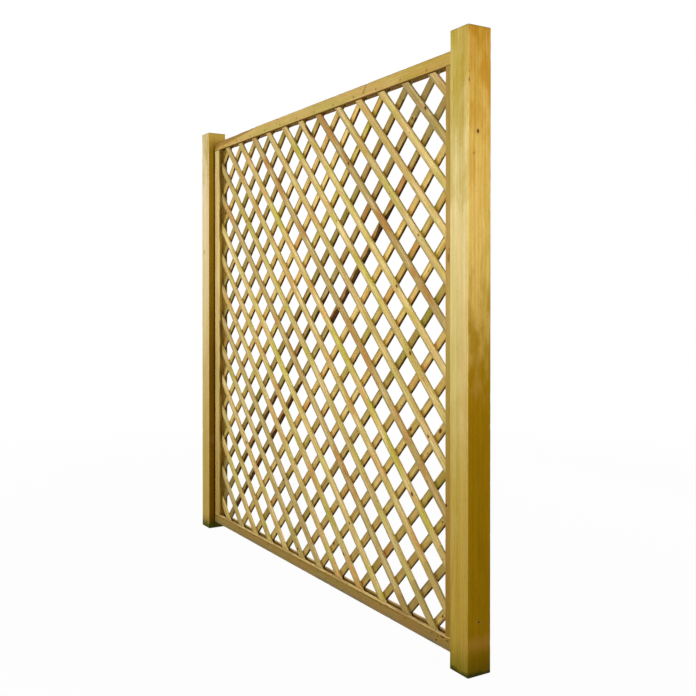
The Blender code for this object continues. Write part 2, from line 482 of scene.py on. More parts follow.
def timberMaterial(name, halfSize, arris, **changes):
    look = {**plainTimber, **changes}
    material, bench, shader, _ = newMaterial(name)
    position = bench.put("ShaderNodeTexCoord").outputs["Object"]
    along, deep, _ = bench.split(position)
    seed, square, wane = look["seed"], position, 0.0
    if look["perBoard"]:
        seed, wane = bench.mark("boardSeed"), bench.mark("boardWane")
        square = bench.mark("boardPlace", "Vector")
        value, greenness, warmth = bench.split(bench.mark("boardTone", "Vector"))

    field = bench.effect(knotFieldEffect, Position=position, Seed=seed, Cell=look["knotCell"],
                         Radius=look["knotRadius"], Share=look["knotShare"])
    knot, halo, bulge = field["Knot"], field["Halo"], field["Bulge"]
    placings = [(position, *placing) for placing in look["placedKnots"]]
    if look["perBoard"]:
        flat = bench.stretched(position, (1.0, 0.0, 1.0))
        for label, stretch in look["markStretch"].items():
            markX, markZ, radius = bench.split(bench.mark(label, "Vector"))
            placings.append((flat, bench.join(markX, 0.0, markZ), radius, stretch, 1.0))
    for place, centre, radius, stretch, strength in placings:
        placed = bench.effect(placedKnotEffect, Position=place, Centre=centre, Radius=radius, Stretch=stretch)
        knot = bench.maths("MAXIMUM", knot, bench.times(placed["Knot"], strength))
        halo = bench.maths("MAXIMUM", halo, placed["Halo"])
        bulge = bench.plus(bulge, placed["Bulge"])
    grain = bench.effect(grainEffect, Position=position, Seed=seed, Pith=look["pith"],
                         Ring_Spacing=look["ringSpacing"], Wander=look["wander"], Bulge=bulge)
    patches = bench.effect(treatmentEffect, Position=position, Seed=seed, Length=look["patchLength"])
    faces = bench.effect(facesEffect, Position=square, Half_Size=halfSize, Arris=arris, Wane=wane)
    saw = bench.effect(sawEffect, Position=position, Seed=seed, Pitch=look["sawPitch"])

    colour = (*look["early"], 1)

    def coat(mask, paint, way="MIX"):
        nonlocal colour
        colour = bench.tint(mask, colour, (*paint, 1), way)

    def wash(mask, kind, way="MIX"):
        coat(bench.times(mask, look[kind + "Share"]), look[kind], way)

    coat(bench.times(grain["Rings"], look["ringShare"]), look["late"])
    coat(bench.times(grain["Broad"], look["broadShare"]), look["late"])
    green, warm = patches["Green"], patches["Warm"]
    if look["perBoard"]:
        green, warm = bench.times(green, greenness), bench.times(warm, warmth)
    wash(green, "green")
    wash(warm, "warm")
    wash(patches["Blotch"], "blotch", "MULTIPLY")
    wash(faces["Edge"], "edge")
    for gap, width, band, amount in look["bands"]:
        mottled = bench.ramp(patches["Blotch"], 0.0, 1.0, amount, amount * look["bandMottle"])
        coat(bench.times(bench.fade(faces[gap], width * look["bandFade"], width), mottled), band)
    for side, tint in (("Low Side", "lowTint"), ("High Side", "highTint")):
        if look[tint]:
            coat(faces[side], look[tint], "MULTIPLY")
    uneven = bench.plus(bench.times(grain["Broad"], look["broadReach"]),
                        bench.times(patches["Blotch"], look["blotchReach"]))
    pushed = bench.plus(along, bench.minus(uneven, look["blotchReach"] / 2))
    for low, start, end, dark in look["shades"]:
        side = faces["Low Side"] if low else bench.minus(1.0, faces["Low Side"])
        coat(bench.times(bench.ramp(pushed, start, end), side), dark, "MULTIPLY")
    wash(patches["Streak"], "streak")
    wash(grain["Fibre"], "fibre", "MULTIPLY")
    wash(patches["Fleck"], "fleck", "MULTIPLY")
    if look["barkShare"] > 0:
        coat(bench.ramp(bench.mark("pulledIn"), *look["barkPull"], 0.0, look["barkShare"]), look["bark"])
    wash(halo, "halo")
    # Painted shadow that the front slats cast on a rear slat's face beside each crossing.
    if look["seam"]:
        pitch, covered, reach, paintedShade = look["seam"]
        start, push = look["slatShadowFade"]
        turn = bench.over(bench.minus(along, bench.mark("boardCross")), pitch)
        away = bench.minus(bench.times(bench.apart(turn, bench.maths("ROUND", turn)), pitch), covered)
        away = bench.plus(away, bench.times(patches["Blotch"], reach * push))
        front = bench.fade(deep, -halfSize[1], 0.0)
        coat(bench.times(bench.fade(away, reach * start, reach), front), paintedShade, "MULTIPLY")
    # Painted shadow in the corner where a post meets the panel.
    if look["corner"]:
        depth, half, paintedShade, amount, side = look["corner"]
        full, none = look["cornerShadeFade"]
        line = bench.fade(bench.apart(deep, depth), half * full, half * none, amount)
        coat(bench.times(line, faces[side]), paintedShade)
    up = bench.plus(along, halfSize[0])
    if look["tide"]:
        height, half, bandColour, amount = look["tide"]
        line = bench.fade(bench.apart(up, height), 0.0, half, amount)
        coat(bench.times(line, faces["Low Side"]), bandColour)
    if look["foot"]:
        height, damp, rimHeight, rim = look["foot"]
        coat(bench.fade(up, 0.0, height), damp, "MULTIPLY")
        blotchPush, fleckPush = look["rimPush"]
        ragged = bench.plus(up, bench.times(patches["Blotch"], rimHeight * blotchPush),
                            bench.times(patches["Fleck"], rimHeight * fleckPush))
        full, none, amount = look["rimFade"]
        coat(bench.fade(ragged, rimHeight * full, rimHeight * none, amount), rim)
    wash(faces["End"], "end")
    coat(knot, look["knot"])
    if look["nails"]:
        first, pitch, radius = look["nails"]
        stain = bench.effect(nailStainEffect, Position=position, First=first, Pitch=pitch, Radius=radius)
        coat(bench.times(stain["Ring"], look["stainShare"]), look["streak"])
    if look["grooveShare"] > 0:
        wash(bench.mark("inGroove"), "groove")
    if look["perBoard"]:
        colour = bench.tint(1.0, colour, bench.join(value, value, value), "MULTIPLY")
        fibrous = bench.ramp(grain["Fibre"], 0.0, 1.0, *look["waneShare"])
        coat(bench.times(faces["Wane Band"], fibrous), look["wane"])
    bench.feed(shader.inputs["Base Color"], colour)

    fibreDull, fuzzDull, *limits = look["dulling"]
    worn = bench.plus(bench.times(grain["Fibre"], fibreDull), bench.times(saw["Fuzz"], fuzzDull))
    bench.feed(shader.inputs["Roughness"], bench.ramp(worn, *limits, *look["roughness"]))
    shader.inputs["Specular IOR Level"].default_value = look["gloss"]
    fibreRise, ringRise, fuzzRise, knotDepth = look["relief"]
    height = bench.plus(bench.times(grain["Fibre"], fibreRise), bench.times(grain["Rings"], ringRise),
                        bench.times(saw["Ripple"], look["sawShare"]), bench.times(saw["Fuzz"], fuzzRise))
    height = bench.minus(height, bench.times(knot, knotDepth))
    feedBump(bench, shader, height, look["bump"], look["bumpDepth"])
    return material


# Boards: a cross-section swept along the board's own X axis, worn a little on its faces and arrises.

sweepLook = {
    "spacing": 0.010,                     # from cut to cut along a board
    "gap": 0.007,                         # the points of an outline are at least this close
    "smoothAngle": 40,                    # edges sharper than this stay sharp, degrees
    "nearEnd": 0.0012,                    # the last cut stands this close to the board's end
    "dips": (6.0, 40.0, 7.1),             # how close along and across, and the step from seed to seed
    "nibbles": (38.0, 25.0, 3.3),
    "nibbleLimit": 0.25,                  # only noise above this takes wood off an arris
}


def newMesh(name, verts, faces):
    mesh = bpy.data.meshes.new(name)
    mesh.from_pydata(verts, [], faces)
    mesh.validate()
    return mesh


def markMesh(mesh, label, kind, values):
    # Gives every point of a mesh a value; vectors come as one flat list.
    field = "vector" if kind == "FLOAT_VECTOR" else "value"
    mesh.attributes.new(label, kind, "POINT").data.foreach_set(field, values)


def boardOutline(halfY, halfZ, arris, groove=None, steps=4, gap=sweepLook["gap"]):
    # Points (y, z, kind), turning from +Y to +Z. A groove is (centre, width, depth, lip, side).
    points = []
    corners = ((halfY, halfZ), (-halfY, halfZ), (-halfY, -halfZ), (halfY, -halfZ))
    for number, (cornerY, cornerZ) in enumerate(corners):
        midY = cornerY - math.copysign(arris, cornerY)
        midZ = cornerZ - math.copysign(arris, cornerZ)
        for step in range(steps + 1):
            angle = math.pi / 2 * (number + step / steps)
            points.append((midY + arris * math.cos(angle), midZ + arris * math.sin(angle), "arris"))
        if number == 0 and groove:
            centre, width, depth, lip, _ = groove
            for sign in (1, -1):
                wall = centre + sign * width / 2
                turns = [(wall + sign * lip, halfZ, "face"), (wall, halfZ - lip, "seat"),
                         (wall, halfZ - depth, "seat")]
                points += turns if sign > 0 else turns[::-1]
    if groove and groove[4] < 0:
        points = [(y, -z, kind) for y, z, kind in points[::-1]]
    dense = []
    for index, (y, z, kind) in enumerate(points):
        nextY, nextZ, nextKind = points[(index + 1) % len(points)]
        dense.append((y, z, kind))
        pieces = math.ceil(math.hypot(nextY - y, nextZ - z) / gap)
        between = "seat" if "seat" in (kind, nextKind) else "face"
        for cut in range(1, pieces):
            share = cut / pieces
            dense.append((y + (nextY - y) * share, z + (nextZ - z) * share, between))
    return dense


def outwardNormals(outline):
    normals = []
    for index in range(len(outline)):
        before, after = outline[index - 1], outline[(index + 1) % len(outline)]
        run = Vector((after[0] - before[0], after[1] - before[1]))
        normals.append(Vector((run.y, -run.x)).normalized() if run.length > 0 else Vector((0, 0)))
    return normals


def sweepBoard(name, outline, length, wear, seed, shape=None, spacing=sweepLook["spacing"]):
    # wear: how far faces dip, how far arrises are nibbled, and the least dip, in metres.
    normals = outwardNormals(outline)
    dipAlong, dipAcross, dipSeed = sweepLook["dips"]
    chipAlong, chipAcross, chipSeed = sweepLook["nibbles"]
    limit = sweepLook["nibbleLimit"]
    inner = length - 2 * sweepLook["nearEnd"]
    count = max(2, math.ceil(inner / spacing))
    stations = [-length / 2, *(inner * (step / count - 0.5) for step in range(count + 1)), length / 2]
    verts, faces, places, pulls = [], [], [], []
    for x in stations:
        for (y, z, kind), normal in zip(outline, normals):
            dip = 0.0
            if kind != "seat":
                slow = noise.noise(Vector((x * dipAlong + seed * dipSeed, y * dipAcross, z * dipAcross)))
                dip = wear["least"] + wear["dip"] * (0.5 + 0.5 * slow)
            if kind == "arris":
                spot = (x * chipAlong + seed * chipSeed, y * chipAcross, z * chipAcross + seed)
                dip += wear["nibble"] * max(0.0, noise.noise(Vector(spot)) - limit) / (1 - limit)
            wornY, wornZ = y - normal.x * dip, z - normal.y * dip
            movedY, movedZ = shape(x, wornY, wornZ) if shape else (wornY, wornZ)
            verts.append((x, movedY, movedZ))
            places += [x, y, z]
            pulls.append(math.hypot(movedY - wornY, movedZ - wornZ))
    ring = len(outline)
    for station in range(len(stations) - 1):
        for index in range(ring):
            after = (index + 1) % ring
            low, high = station * ring, (station + 1) * ring
            faces.append((low + index, high + index, high + after, low + after))
    faces.append(tuple(range(ring)))
    faces.append(tuple(len(verts) - ring + index for index in reversed(range(ring))))
    mesh = newMesh(name, verts, faces)
    markMesh(mesh, "boardPlace", "FLOAT_VECTOR", places)
    markMesh(mesh, "pulledIn", "FLOAT", pulls)
    return mesh


def standPiece(name, mesh, matrix, material, body, slot, smoothAngle=sweepLook["smoothAngle"]):
    mesh.materials.clear()
    mesh.materials.append(material)
    piece = bpy.data.objects.new(name, mesh)
    bpy.context.scene.collection.objects.link(piece)
    piece.matrix_world = matrix
    for polygon in mesh.polygons:
        polygon.use_smooth = True
    mesh.set_sharp_from_angle(angle=math.radians(smoothAngle))
    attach(piece, body)
    return piece


def axes(along, place):
    # A frame whose X runs along the board and whose Y looks to the panel's back.
    alongAxis, backAxis = Vector(along).normalized(), Vector((0, 1, 0))
    acrossAxis = alongAxis.cross(backAxis)
    turn = Matrix((alongAxis, backAxis, acrossAxis)).transposed().to_4x4()
    return Matrix.Translation(place) @ turn


def boxOf(node):
    low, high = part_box(node)
    return (low + high) / 2, high - low


bodyName = "root"


# Posts: planed square timbers with eased arrises, standing on the ground.

postLook = {
    "arris": 0.0036,
    "wear": {"least": 0.0, "dip": 0.0004, "nibble": 0.0012},
    "endChamfer": 0.0008,
    "spacing": 0.008,
    # Painted shadow in the corner at the panel: how far ahead of it, half width, colour and share.
    "corner": (0.0030, 0.0034, (0.060, 0.022, 0.0), 1.0),
    "timber": {
        "pith": (0, 0.075, 0.055),
        "ringSpacing": 0.0052,
        "wander": 0.045,
        "ringShare": 0.45,
        "broadShare": 0.60,
        "fibreShare": 0.30,
        "green": (0.640, 0.600, 0.190),
        "greenShare": 0.30,
        "warm": (0.800, 0.540, 0.230),
        "warmShare": 0.20,
        "streakShare": 0.12,
        "patchLength": 0.55,
        "knotCell": 0.34,
        "knotRadius": 0.007,
        "knotShare": 0.15,
        "haloShare": 0.40,
        "edge": (0.900, 0.740, 0.360),
        "edgeShare": 0.30,
        "blotchShare": 0.35,
        "blotchReach": 0.22,
        "fleckShare": 0.35,
        "end": (0.260, 0.190, 0.050),
        "bump": 0.40,
        "sawShare": 0.12,
    },
    # Each post's knots are height, face, distance from its middle line, radius, stretch and strength.
    "left": {
        "cornerShadeSide": "Low Side",
        "seed": 4.2,
        "early": (0.860, 0.730, 0.480),
        "late": (0.640, 0.490, 0.230),
        "lowTint": (0.580, 0.420, 0.045),
        "shades": [(False, 0.66, -0.69, (0.65, 0.55, 0.25)), (False, 0.66, 1.17, (0.70, 0.60, 0.22)),
                   (True, 0.96, -0.34, (0.45, 0.38, 0.20))],
        # This band lightens the side at the post's head: painted light.
        "tide": (1.873, 0.100, (0.760, 0.510, 0.095), 0.88),
        "foot": (0.075, (0.45, 0.50, 0.25), 0.030, (0.050, 0.062, 0.006)),
        "knots": [(0.42, "side", -0.012, 0.010, 1.3, 1.0), (1.31, "front", 0.014, 0.005, 1.3, 0.6),
                  (0.88, "side", 0.018, 0.008, 1.3, 1.0)],
    },
    "right": {
        "cornerShadeSide": "High Side",
        "seed": 9.7,
        "early": (0.890, 0.760, 0.400),
        "late": (0.650, 0.500, 0.170),
        "lowTint": (0.910, 0.755, 0.436),
        "shades": [(False, 0.48, -0.69, (0.59, 0.48, 0.16)), (False, 0.25, 1.15, (0.73, 0.63, 0.16)),
                   (True, 0.42, -0.14, (0.48, 0.385, 0.0)), (True, 0.31, 1.28, (0.78, 0.52, 0.0))],
        "tide": (0.092, 0.036, (0.430, 0.225, 0.030), 0.58),
        "foot": (0.110, (0.49, 0.56, 0.24), 0.015, (0.030, 0.040, 0.004)),
        "knots": [(1.570, "side", -0.007, 0.0050, 1.3, 1.0), (1.506, "side", -0.022, 0.0030, 1.0, 0.45),
                  (0.156, "side", -0.002, 0.0042, 1.0, 1.00), (0.149, "side", 0.010, 0.0030, 1.0, 0.55),
                  (1.862, "side", -0.0392, 0.0022, 3.5, 0.8), (1.714, "side", -0.0392, 0.0022, 4.5, 0.8),
                  (1.738, "side", -0.0385, 0.0016, 4.0, 0.6), (1.585, "side", -0.0390, 0.0016, 5.0, 0.6)],
    },
}

panelFrontY = boxOf("top_rail")[0].y - boxOf("top_rail")[1].y / 2   # the posts' middle depth is 0
boardWear = {"least": 0.0, "dip": 0.00022, "nibble": 0.0016}


def postKnot(height, face, across, radius, stretch, strength, size):
    along = height - size.z / 2
    place = (along, across, -size.x / 2) if face == "side" else (along, -size.y / 2, across)
    return place, radius, stretch, strength


def endChamfer(length, chamfer):
    def shape(x, y, z):
        short = max(0.0, abs(x) - (length / 2 - chamfer))
        return (y - math.copysign(short, y) if abs(y) > short else 0.0,
                z - math.copysign(short, z) if abs(z) > short else 0.0)
    return shape


def buildPost(side):
    look = dict(postLook[side])
    node = "post_" + side
    centre, size = boxOf(node)
    knots = [postKnot(*knot, size) for knot in look.pop("knots")]
    ahead, *paintedShade = postLook["corner"]
    corner = (panelFrontY - ahead, *paintedShade, look.pop("cornerShadeSide"))
    material = timberMaterial(side + "PostTimber", (size.z / 2, size.y / 2, size.x / 2), postLook["arris"],
                              **postLook["timber"], **look, placedKnots=knots, corner=corner)
    outline = boardOutline(size.y / 2, size.x / 2, postLook["arris"], steps=5)
    mesh = sweepBoard(node + "_timber", outline, size.z, postLook["wear"], look["seed"],
                      endChamfer(size.z, postLook["endChamfer"]), postLook["spacing"])
    post = standPiece(node + "_timber", mesh, axes((0, 0, 1), centre), material, bodyName, "post_timber")
    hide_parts(node)


for side in ("left", "right"):
    buildPost(side)
print("posts made")


# Frame: grooved rails and stiles.

frameLook = {
    "arris": 0.0028,
    "sideArris": 1.5,                     # how much wider a rail's sides are coloured than its arris is round
    "stainRadius": 0.0042,                # rust round a nail
    "grooveWidth": 0.0169,
    "grooveDepth": 0.020,
    "frontLip": 0.011,
    "lipRound": 0.0006,
    # The rails' groove colour is painted shade in the recess.
    "railGroove": {"groove": (0.210, 0.105, 0.018), "grooveShare": 0.70},
    "stileGroove": {"groove": (0.620, 0.410, 0.060), "grooveShare": 0.70},
    "waneStart": -0.42,                   # the top rail's bark edge runs from here to its far end
    "waneHigh": 0.033,
    "waneDeep": 0.012,
    "waneGrowth": 0.8,
    "waneUneven": (0.10, 14.0, 3.0),      # share, waves per metre along the rail, and place in the noise
    "waneGap": 0.0035,                    # the outline's points are this close on the rail with the bark edge
    "waneCut": 0.46,                      # how far the bark edge is pulled in from the sawn corner
    "chipLean": 0.6,
    "chips": [(-0.258, 0.007, 0.0035), (0.414, 0.005, 0.0030)],   # place along, half width, depth
}


def grooveFor(size, side):
    # The groove's centre is measured from the middle of the timber's depth.
    centre = frameLook["frontLip"] + frameLook["grooveWidth"] / 2 - size.y / 2
    return centre, frameLook["grooveWidth"], frameLook["grooveDepth"], frameLook["lipRound"], side


def barkEdge(size):
    # Where the tree's own round edge is left on the sawn rail, its upper front arris falls away.
    def shape(x, y, z):
        inZ, inY = size.z / 2 - z, y + size.y / 2
        for centre, half, depth in frameLook["chips"]:
            near = 1 - abs(x - centre) / half
            if near > 0 and inZ + inY < depth:
                return y + depth * near * frameLook["chipLean"], z - depth * near
        share = (frameLook["waneStart"] - x) / (frameLook["waneStart"] + size.x / 2)
        if share <= 0:
            return y, z
        strength, waves, spot = frameLook["waneUneven"]
        swing = 1 + strength * noise.noise(Vector((x * waves, spot, 0.0)))
        uneven = share ** frameLook["waneGrowth"] * swing
        high, deep = frameLook["waneHigh"] * uneven, frameLook["waneDeep"] * uneven
        beyond = 1 - (inZ / high + inY / deep)
        if inZ >= high or inY >= deep or beyond <= 0:
            return y, z
        pulled = beyond * frameLook["waneCut"]
        return y + deep * pulled, z - high * pulled
    return shape


def markGroove(mesh, groove, halfZ):
    # Marks the points on the groove's walls and floor, which take a colour of their own: painted shade in the
    # rails.
    centre, width, depth, lip, side = groove
    marks = []
    for vertex in mesh.vertices:
        _, y, z = vertex.co
        inside = abs(y - centre) < width / 2 + lip / 2 and halfZ - depth - lip < side * z < halfZ - lip / 2
        marks.append(1.0 if inside else 0.0)
    markMesh(mesh, "inGroove", "FLOAT", marks)


def buildRail(node, side, look, knots, run, nailZ, shape=None, gap=sweepLook["gap"]):
    # The run is that of the rail's first nailed slat.
    centre, size = boxOf(node)
    halfSize = (size.x / 2, size.y / 2, size.z / 2)
    first = (frontSlatX(run, nailZ) - centre.x, -size.y / 2, nailZ - centre.z)
    placed = [((x - centre.x, -size.y / 2, z - centre.z), *form) for x, z, *form in knots]
    material = timberMaterial(node + "Timber", halfSize, frameLook["arris"] * frameLook["sideArris"],
                              placedKnots=placed, nails=(first, slatPitch, frameLook["stainRadius"]),
                              **look, **frameLook["railGroove"])
    groove = grooveFor(size, side)
    outline = boardOutline(size.y / 2, size.z / 2, frameLook["arris"], groove, gap=gap)
    mesh = sweepBoard(node + "_timber", outline, size.x, boardWear, look["seed"],
                      shape(size) if shape else None)
    markGroove(mesh, groove, size.z / 2)
    rail = standPiece(node + "_timber", mesh, Matrix.Translation(centre), material, bodyName, "frame_timber")
    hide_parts(node)


def slatRun(node, lean):
    # Reads a slat's centre line from its solid: its start, end and distance across, and its axes.
    alongAxis = Vector((1, 0, lean)).normalized()
    acrossAxis = alongAxis.cross(Vector((0, 1, 0)))
    points = [vertex.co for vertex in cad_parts[node].data.vertices]
    along = [point.dot(alongAxis) for point in points]
    across = [point.dot(acrossAxis) for point in points]
    return {"node": node, "start": min(along), "end": max(along), "across": (min(across) + max(across)) / 2,
            "width": max(across) - min(across), "alongAxis": alongAxis, "acrossAxis": acrossAxis}


slatCount = 24                            # in each layer
firstTopSlat = slatCount // 2             # from here on, front slats end in the top rail
slatNumbers = ["%02d" % number for number in range(1, slatCount + 1)]
frontRuns = [slatRun("front_slat_" + number, -1) for number in slatNumbers]
rearRuns = [slatRun("rear_slat_" + number, 1) for number in slatNumbers]
slatPitch = (frontRuns[1]["across"] - frontRuns[0]["across"]) * math.sqrt(2)


def frontSlatX(run, height):
    # Where a front slat's centre line passes a height.
    return run["across"] * math.sqrt(2) - height


railCentre, railSize = boxOf("top_rail")
sillCentre, sillSize = boxOf("bottom_rail")
nailInset = 0.0305                        # from the rail's outer edge to its nails
topNailZ = railCentre.z + railSize.z / 2 - nailInset
bottomNailZ = sillCentre.z - sillSize.z / 2 + nailInset

topRailLook = {
    "seed": 2.6,
    "early": (0.715, 0.530, 0.188),
    "late": (0.530, 0.350, 0.102),
    "pith": (0, 0.045, -0.030),
    "ringShare": 0.35,
    "green": (0.540, 0.450, 0.105),
    "greenShare": 0.60,
    "warm": (0.640, 0.380, 0.120),
    "warmShare": 0.50,
    "patchLength": 0.30,
    "knotCell": 0.20,
    "knotShare": 0.20,
    "highTint": (0.400, 0.400, 0.220),
    # lowTint darkens the rail's underside: painted shade.
    "lowTint": (0.290, 0.200, 0.105),
    "edgeShare": 0.10,
    "bark": (0.400, 0.220, 0.050),
    "barkShare": 0.90,
    "shades": [(False, 0.45, 0.75, (0.93, 0.86, 0.62)), (False, -0.60, -0.88, (0.88, 0.80, 0.56))],
}
bottomRailLook = {
    "seed": 6.3,
    "early": (0.370, 0.245, 0.072),
    "late": (0.240, 0.145, 0.034),
    "pith": (0, 0.050, 0.028),
    "ringShare": 0.40,
    "green": (0.290, 0.240, 0.055),
    "greenShare": 0.45,
    "warm": (0.360, 0.200, 0.060),
    "warmShare": 0.40,
    "patchLength": 0.32,
    "knotCell": 0.20,
    "knotShare": 0.20,
    "edge": (0.480, 0.350, 0.130),
    "edgeShare": 0.20,
    "bands": [("High Gap", 0.0160, (0.225, 0.128, 0.016), 0.85),
              # The narrow pale band at the upper arris is a painted highlight.
              ("High Gap", 0.0048, (0.780, 0.580, 0.250), 1.00),
              ("Low Gap", 0.0200, (0.205, 0.172, 0.110), 0.85)],
}
# Knots on the rails' faces: place along, height, radius, stretch along the grain and darkness.
topRailKnots = [
    (-0.258, 1.829, 0.0055, 1.2, 1.0), (-0.267, 1.807, 0.0024, 1.0, 1.0), (-0.240, 1.808, 0.0024, 1.0, 1.0),
    (0.396, 1.801, 0.0036, 1.0, 0.9), (0.403, 1.809, 0.0034, 0.9, 0.8), (0.410, 1.817, 0.0030, 0.9, 0.7),
    (0.418, 1.826, 0.0030, 0.9, 0.7)]
bottomRailKnots = [
    (0.138, 0.047, 0.0046, 1.0, 0.8), (0.812, 0.044, 0.0042, 1.2, 1.0), (0.820, 0.057, 0.0036, 1.2, 1.0),
    (0.842, 0.062, 0.0030, 4.5, 1.0), (0.866, 0.058, 0.0028, 4.0, 0.9)]
buildRail("top_rail", -1, topRailLook, topRailKnots, frontRuns[firstTopSlat], topNailZ, barkEdge,
          frameLook["waneGap"])
buildRail("bottom_rail", 1, bottomRailLook, bottomRailKnots, frontRuns[0], bottomNailZ)
print("rails made")


def applyCuts(piece, steps):
    # Runs Boolean steps on a piece and keeps the result as its mesh.
    for operation, cutter in steps:
        step = piece.modifiers.new(operation.lower(), "BOOLEAN")
        step.operation = operation
        step.solver = "EXACT"
        step.object = cutter
    bpy.context.view_layer.update()
    graph = bpy.context.evaluated_depsgraph_get()
    made = bpy.data.meshes.new_from_object(piece.evaluated_get(graph))
    piece.modifiers.clear()
    piece.data = made
    for _, cutter in steps:
        bpy.data.objects.remove(cutter, do_unlink=True)


def turnedMesh(name, profile, sides):
    # A profile of (radius, height) points turned about Z; a radius of zero is a point on the axis.
    verts, faces, rings = [], [], []
    for radius, height in profile:
        if radius == 0:
            rings.append([len(verts)])
            verts.append((0, 0, height))
            continue
        rings.append(list(range(len(verts), len(verts) + sides)))
        for side in range(sides):
            angle = 2 * math.pi * side / sides
            verts.append((radius * math.cos(angle), radius * math.sin(angle), height))
    for upper, lower in zip(rings, rings[1:]):
        for side in range(sides):
            after = (side + 1) % sides
            top = [upper[side], upper[after]] if len(upper) > 1 else upper
            bottom = [lower[after], lower[side]] if len(lower) > 1 else lower
            faces.append(top[::-1] + bottom[::-1])
    return newMesh(name, verts, faces)


def looseObject(name, mesh, matrix=None):
    item = bpy.data.objects.new(name, mesh)
    bpy.context.scene.collection.objects.link(item)
    if matrix:
        item.matrix_world = matrix
    return item


def boxMesh(name, size):
    half = Vector(size) / 2
    verts = [(x * half.x, y * half.y, z * half.z) for x in (-1, 1) for y in (-1, 1) for z in (-1, 1)]
    faces = [(0, 1, 3, 2), (4, 6, 7, 5), (0, 4, 5, 1), (2, 3, 7, 6), (0, 2, 6, 4), (1, 5, 7, 3)]
    return newMesh(name, verts, faces)


screwLook = {
    "headRadius": 0.0048,
    "rim": 0.0005,
    "rimRound": (0.96, 0.3),              # where the head's flat ends, in radii, and its rim starts, in rims
    "headDepth": 0.0034,
    "radius": 0.0025,
    "core": 0.0017,
    "tip": 0.008,
    "clearance": 0.0003,
    "overrun": 0.010,                     # the bore's cutter starts this far off the timber
    "sides": 24,
    "recess": (0.0050, 0.0010, 0.0030),   # the driver cross: length, width and depth
    "recessTurn": 0.4,
    "threadPitch": 0.0024,
    "threadFrom": 0.024,                  # from the head's top to the thread's start
    "threadHalf": 0.0005,
    "threadSteps": 14,                    # to a turn
    "threadRoot": 0.97,                   # the thread starts at this share of the core's radius
    "threadRunout": 0.001,
    "threadLeast": 0.02,
    "levels": ("low", "middle", "high"),
}


def screwFrame(side, level):
    # A screw's head looks into the panel; its own +Z is the way its head looks.
    low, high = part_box("post_screw_" + side + "_" + level)
    outward = 1 if side == "right" else -1
    headX = low.x if outward > 0 else high.x
    place = Vector((headX, (low.y + high.y) / 2, (low.z + high.z) / 2))
    turn = Vector((-outward, 0, 0)).to_track_quat("Z", "Y").to_matrix().to_4x4()
    return Matrix.Translation(place) @ turn, high.x - low.x


def boreProfile(length):
    look = screwLook
    grow, overrun = look["clearance"], look["overrun"]
    head, shank = look["headRadius"] + grow, look["radius"] + grow
    return [(0, overrun), (head, overrun), (head, -look["rim"] - grow), (shank, -look["headDepth"] - grow),
            (shank, look["tip"] - length), (0, -length - grow)]


def boreCutters(side):
    cutters = []
    for level in screwLook["levels"]:
        matrix, length = screwFrame(side, level)
        mesh = turnedMesh("bore", boreProfile(length), screwLook["sides"])
        cutters.append(("DIFFERENCE", looseObject("bore_" + side + "_" + level, mesh, matrix)))
    return cutters


stileLook = {
    "overcut": 0.010,                     # how far the groove's cutter runs past the timber
    "timber": {
        "pith": (0, 0.060, -0.050),
        "broadShare": 0.45,
        "greenShare": 0.45,
        "warmShare": 0.35,
        "patchLength": 0.45,
        "knotCell": 0.22,
        "knotShare": 0.25,
    },
    # Each stile's knots are height, place across the panel, radius, stretch and strength.
    "left": {
        "seed": 3.4,
        "early": (0.900, 0.750, 0.345),
        "late": (0.690, 0.505, 0.172),
        "lowTint": (0.620, 0.500, 0.180),
        # The dark Low Gap band beside the inner edge is painted shade for the shaded groove wall.
        "bands": [("Low Gap", 0.0180, (0.240, 0.150, 0.030), 0.95)],
        "shades": [(False, 0.35, -0.90, (0.64, 0.55, 0.40)), (True, 0.60, -0.80, (0.70, 0.62, 0.40))],
        "knots": [(0.310, -0.889, 0.0030, 1.2, 1.0)],
    },
    "right": {
        "seed": 8.8,
        "early": (0.480, 0.320, 0.072),
        "late": (0.345, 0.208, 0.030),
        "lowTint": (0.700, 0.720, 0.500),
        "bands": [("High Gap", 0.014, (0.430, 0.265, 0.085), 0.70)],
        "shades": [(False, 0.15, -0.45, (0.76, 0.72, 0.55))],
        "knots": [(0.466, 0.8610, 0.0050, 1.4, 1.0), (1.211, 0.8713, 0.0070, 2.2, 0.45),
                  (1.236, 0.8750, 0.0030, 1.5, 0.8)],
    },
}


